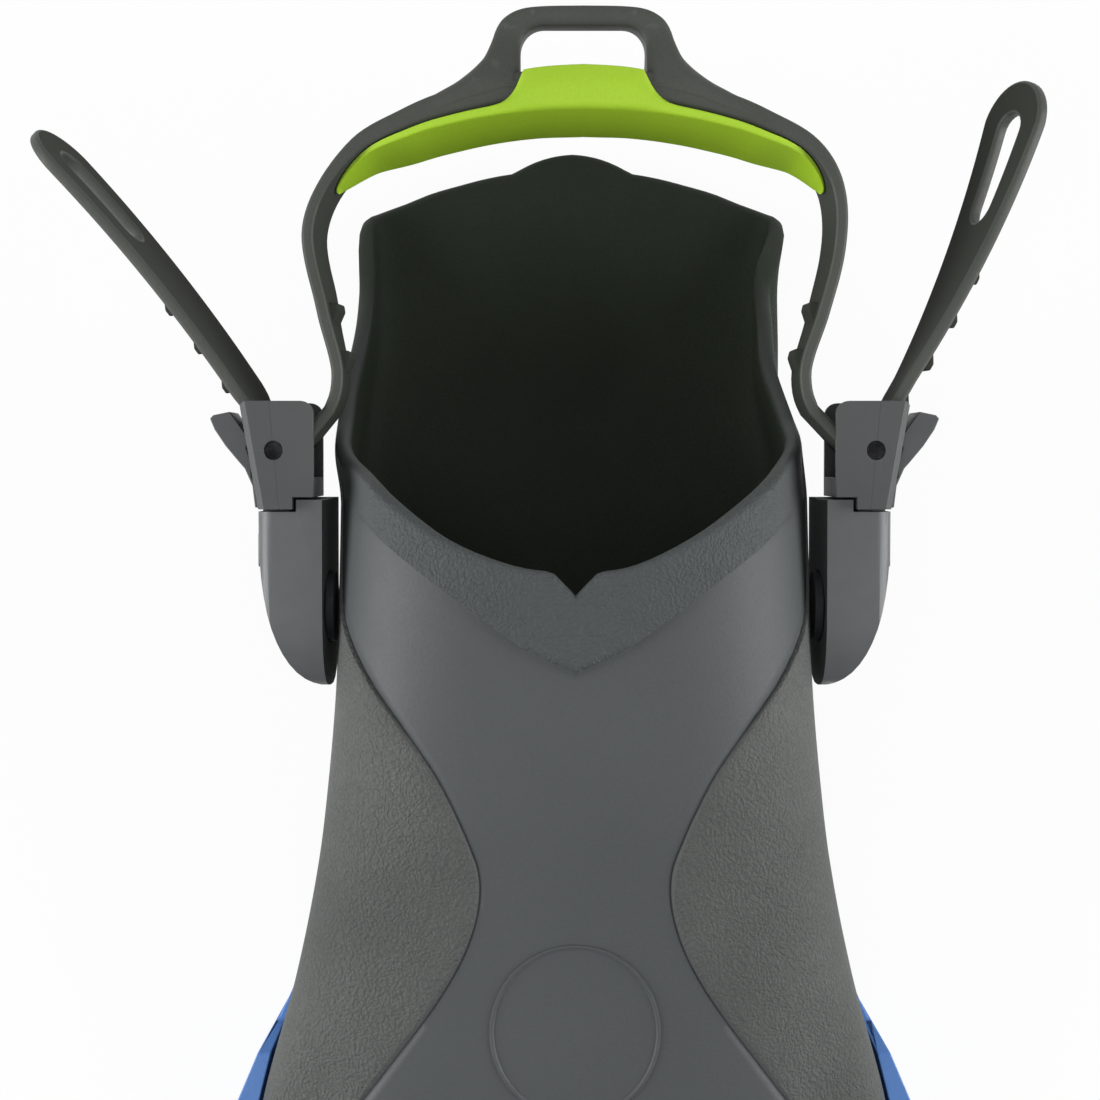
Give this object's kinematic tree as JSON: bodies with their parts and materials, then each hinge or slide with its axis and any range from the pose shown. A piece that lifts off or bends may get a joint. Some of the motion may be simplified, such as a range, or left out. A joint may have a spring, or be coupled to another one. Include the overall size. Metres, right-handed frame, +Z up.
{
  "type": "swim fin",
  "caption": "Open-heel swim fin: a rubber foot pocket on a railed blade, with swivelling quick-release buckles and a toothed heel strap with a padded heel and finger loop.",
  "frame": {"origin": "on the flat of the grip sole, straight below the axis on which both buckles swivel", "axes": "+Y to the heel, -Y to the blade tip, +X to the wearer's right, +Z up from the sole"},
  "size_m": [0.2355, 0.4944, 0.0807],
  "materials": {
    "blade_plastic": "smooth satin",
    "pocket_rubber": "matt with fine leather grain",
    "sole_rubber": "matt",
    "buckle_plastic": "satin moulded",
    "lever_plastic": "satin moulded",
    "pin_steel": "drawn wire",
    "strap_rubber": "matt",
    "pad_rubber": "matt soft rubber"
  },
  "bodies": {
    "fin": {"blade": "blade_plastic", "foot_pocket": "pocket_rubber", "outsole": "sole_rubber", "buckle_post_left": "buckle_plastic", "buckle_post_right": "buckle_plastic"},
    "left_buckle": {"buckle_body_left": "buckle_plastic"},
    "right_buckle": {"buckle_body_right": "buckle_plastic"},
    "left_button": {"release_button_left": "buckle_plastic"},
    "right_button": {"release_button_right": "buckle_plastic"},
    "strap": {"heel_strap": "strap_rubber", "heel_pad": "pad_rubber", "strap_plug_left": "buckle_plastic", "strap_plug_right": "buckle_plastic", "strap_pin_left": "pin_steel", "strap_pin_right": "pin_steel", "lever_pin_left": "pin_steel", "lever_pin_right": "pin_steel", "lever_spring_left": "pin_steel", "lever_spring_right": "pin_steel"},
    "left_lever": {"ratchet_lever_left": "lever_plastic"},
    "right_lever": {"ratchet_lever_right": "lever_plastic"}
  },
  "joints": [
    {"name": "left_swivel", "type": "hinge", "parent": "fin", "child": "left_buckle", "pos_m": [-0.06, 0, 0.038], "axis": [1, 0, 0], "range_deg": [0, 45]},
    {"name": "right_swivel", "type": "hinge", "parent": "fin", "child": "right_buckle", "pos_m": [0.06, 0, 0.038], "axis": [1, 0, 0], "range_deg": [0, 45]},
    {"name": "strap_release", "type": "slide", "parent": "left_buckle", "child": "strap", "axis": [0, 0.9703, 0.2419], "range_m": [0, 0.03]},
    {"name": "left_lever_turn", "type": "hinge", "parent": "strap", "child": "left_lever", "pos_m": [-0.07215, 0.02659, 0.04463], "axis": [0, -0.2419, 0.9703], "range_deg": [0, 16], "stiffness_Nm_per_rad": 0.2, "springref_deg": -5.73, "deforming": ["lever_spring_left"]},
    {"name": "right_lever_turn", "type": "hinge", "parent": "strap", "child": "right_lever", "pos_m": [0.07215, 0.02659, 0.04463], "axis": [0, 0.2419, -0.9703], "range_deg": [0, 16], "stiffness_Nm_per_rad": 0.2, "springref_deg": -5.73, "deforming": ["lever_spring_right"]},
    {"name": "left_button_press", "type": "slide", "parent": "left_buckle", "child": "left_button", "axis": [1, 0, 0], "range_m": [0, 0.0015], "stiffness_N_per_m": 900, "springref_m": -0.001},
    {"name": "right_button_press", "type": "slide", "parent": "right_buckle", "child": "right_button", "axis": [-1, 0, 0], "range_m": [0, 0.0015], "stiffness_N_per_m": 900, "springref_m": -0.001}
  ],
  "couplings": [
    {"joint": "right_swivel", "follows": "left_swivel", "ratio": 1}
  ]
}
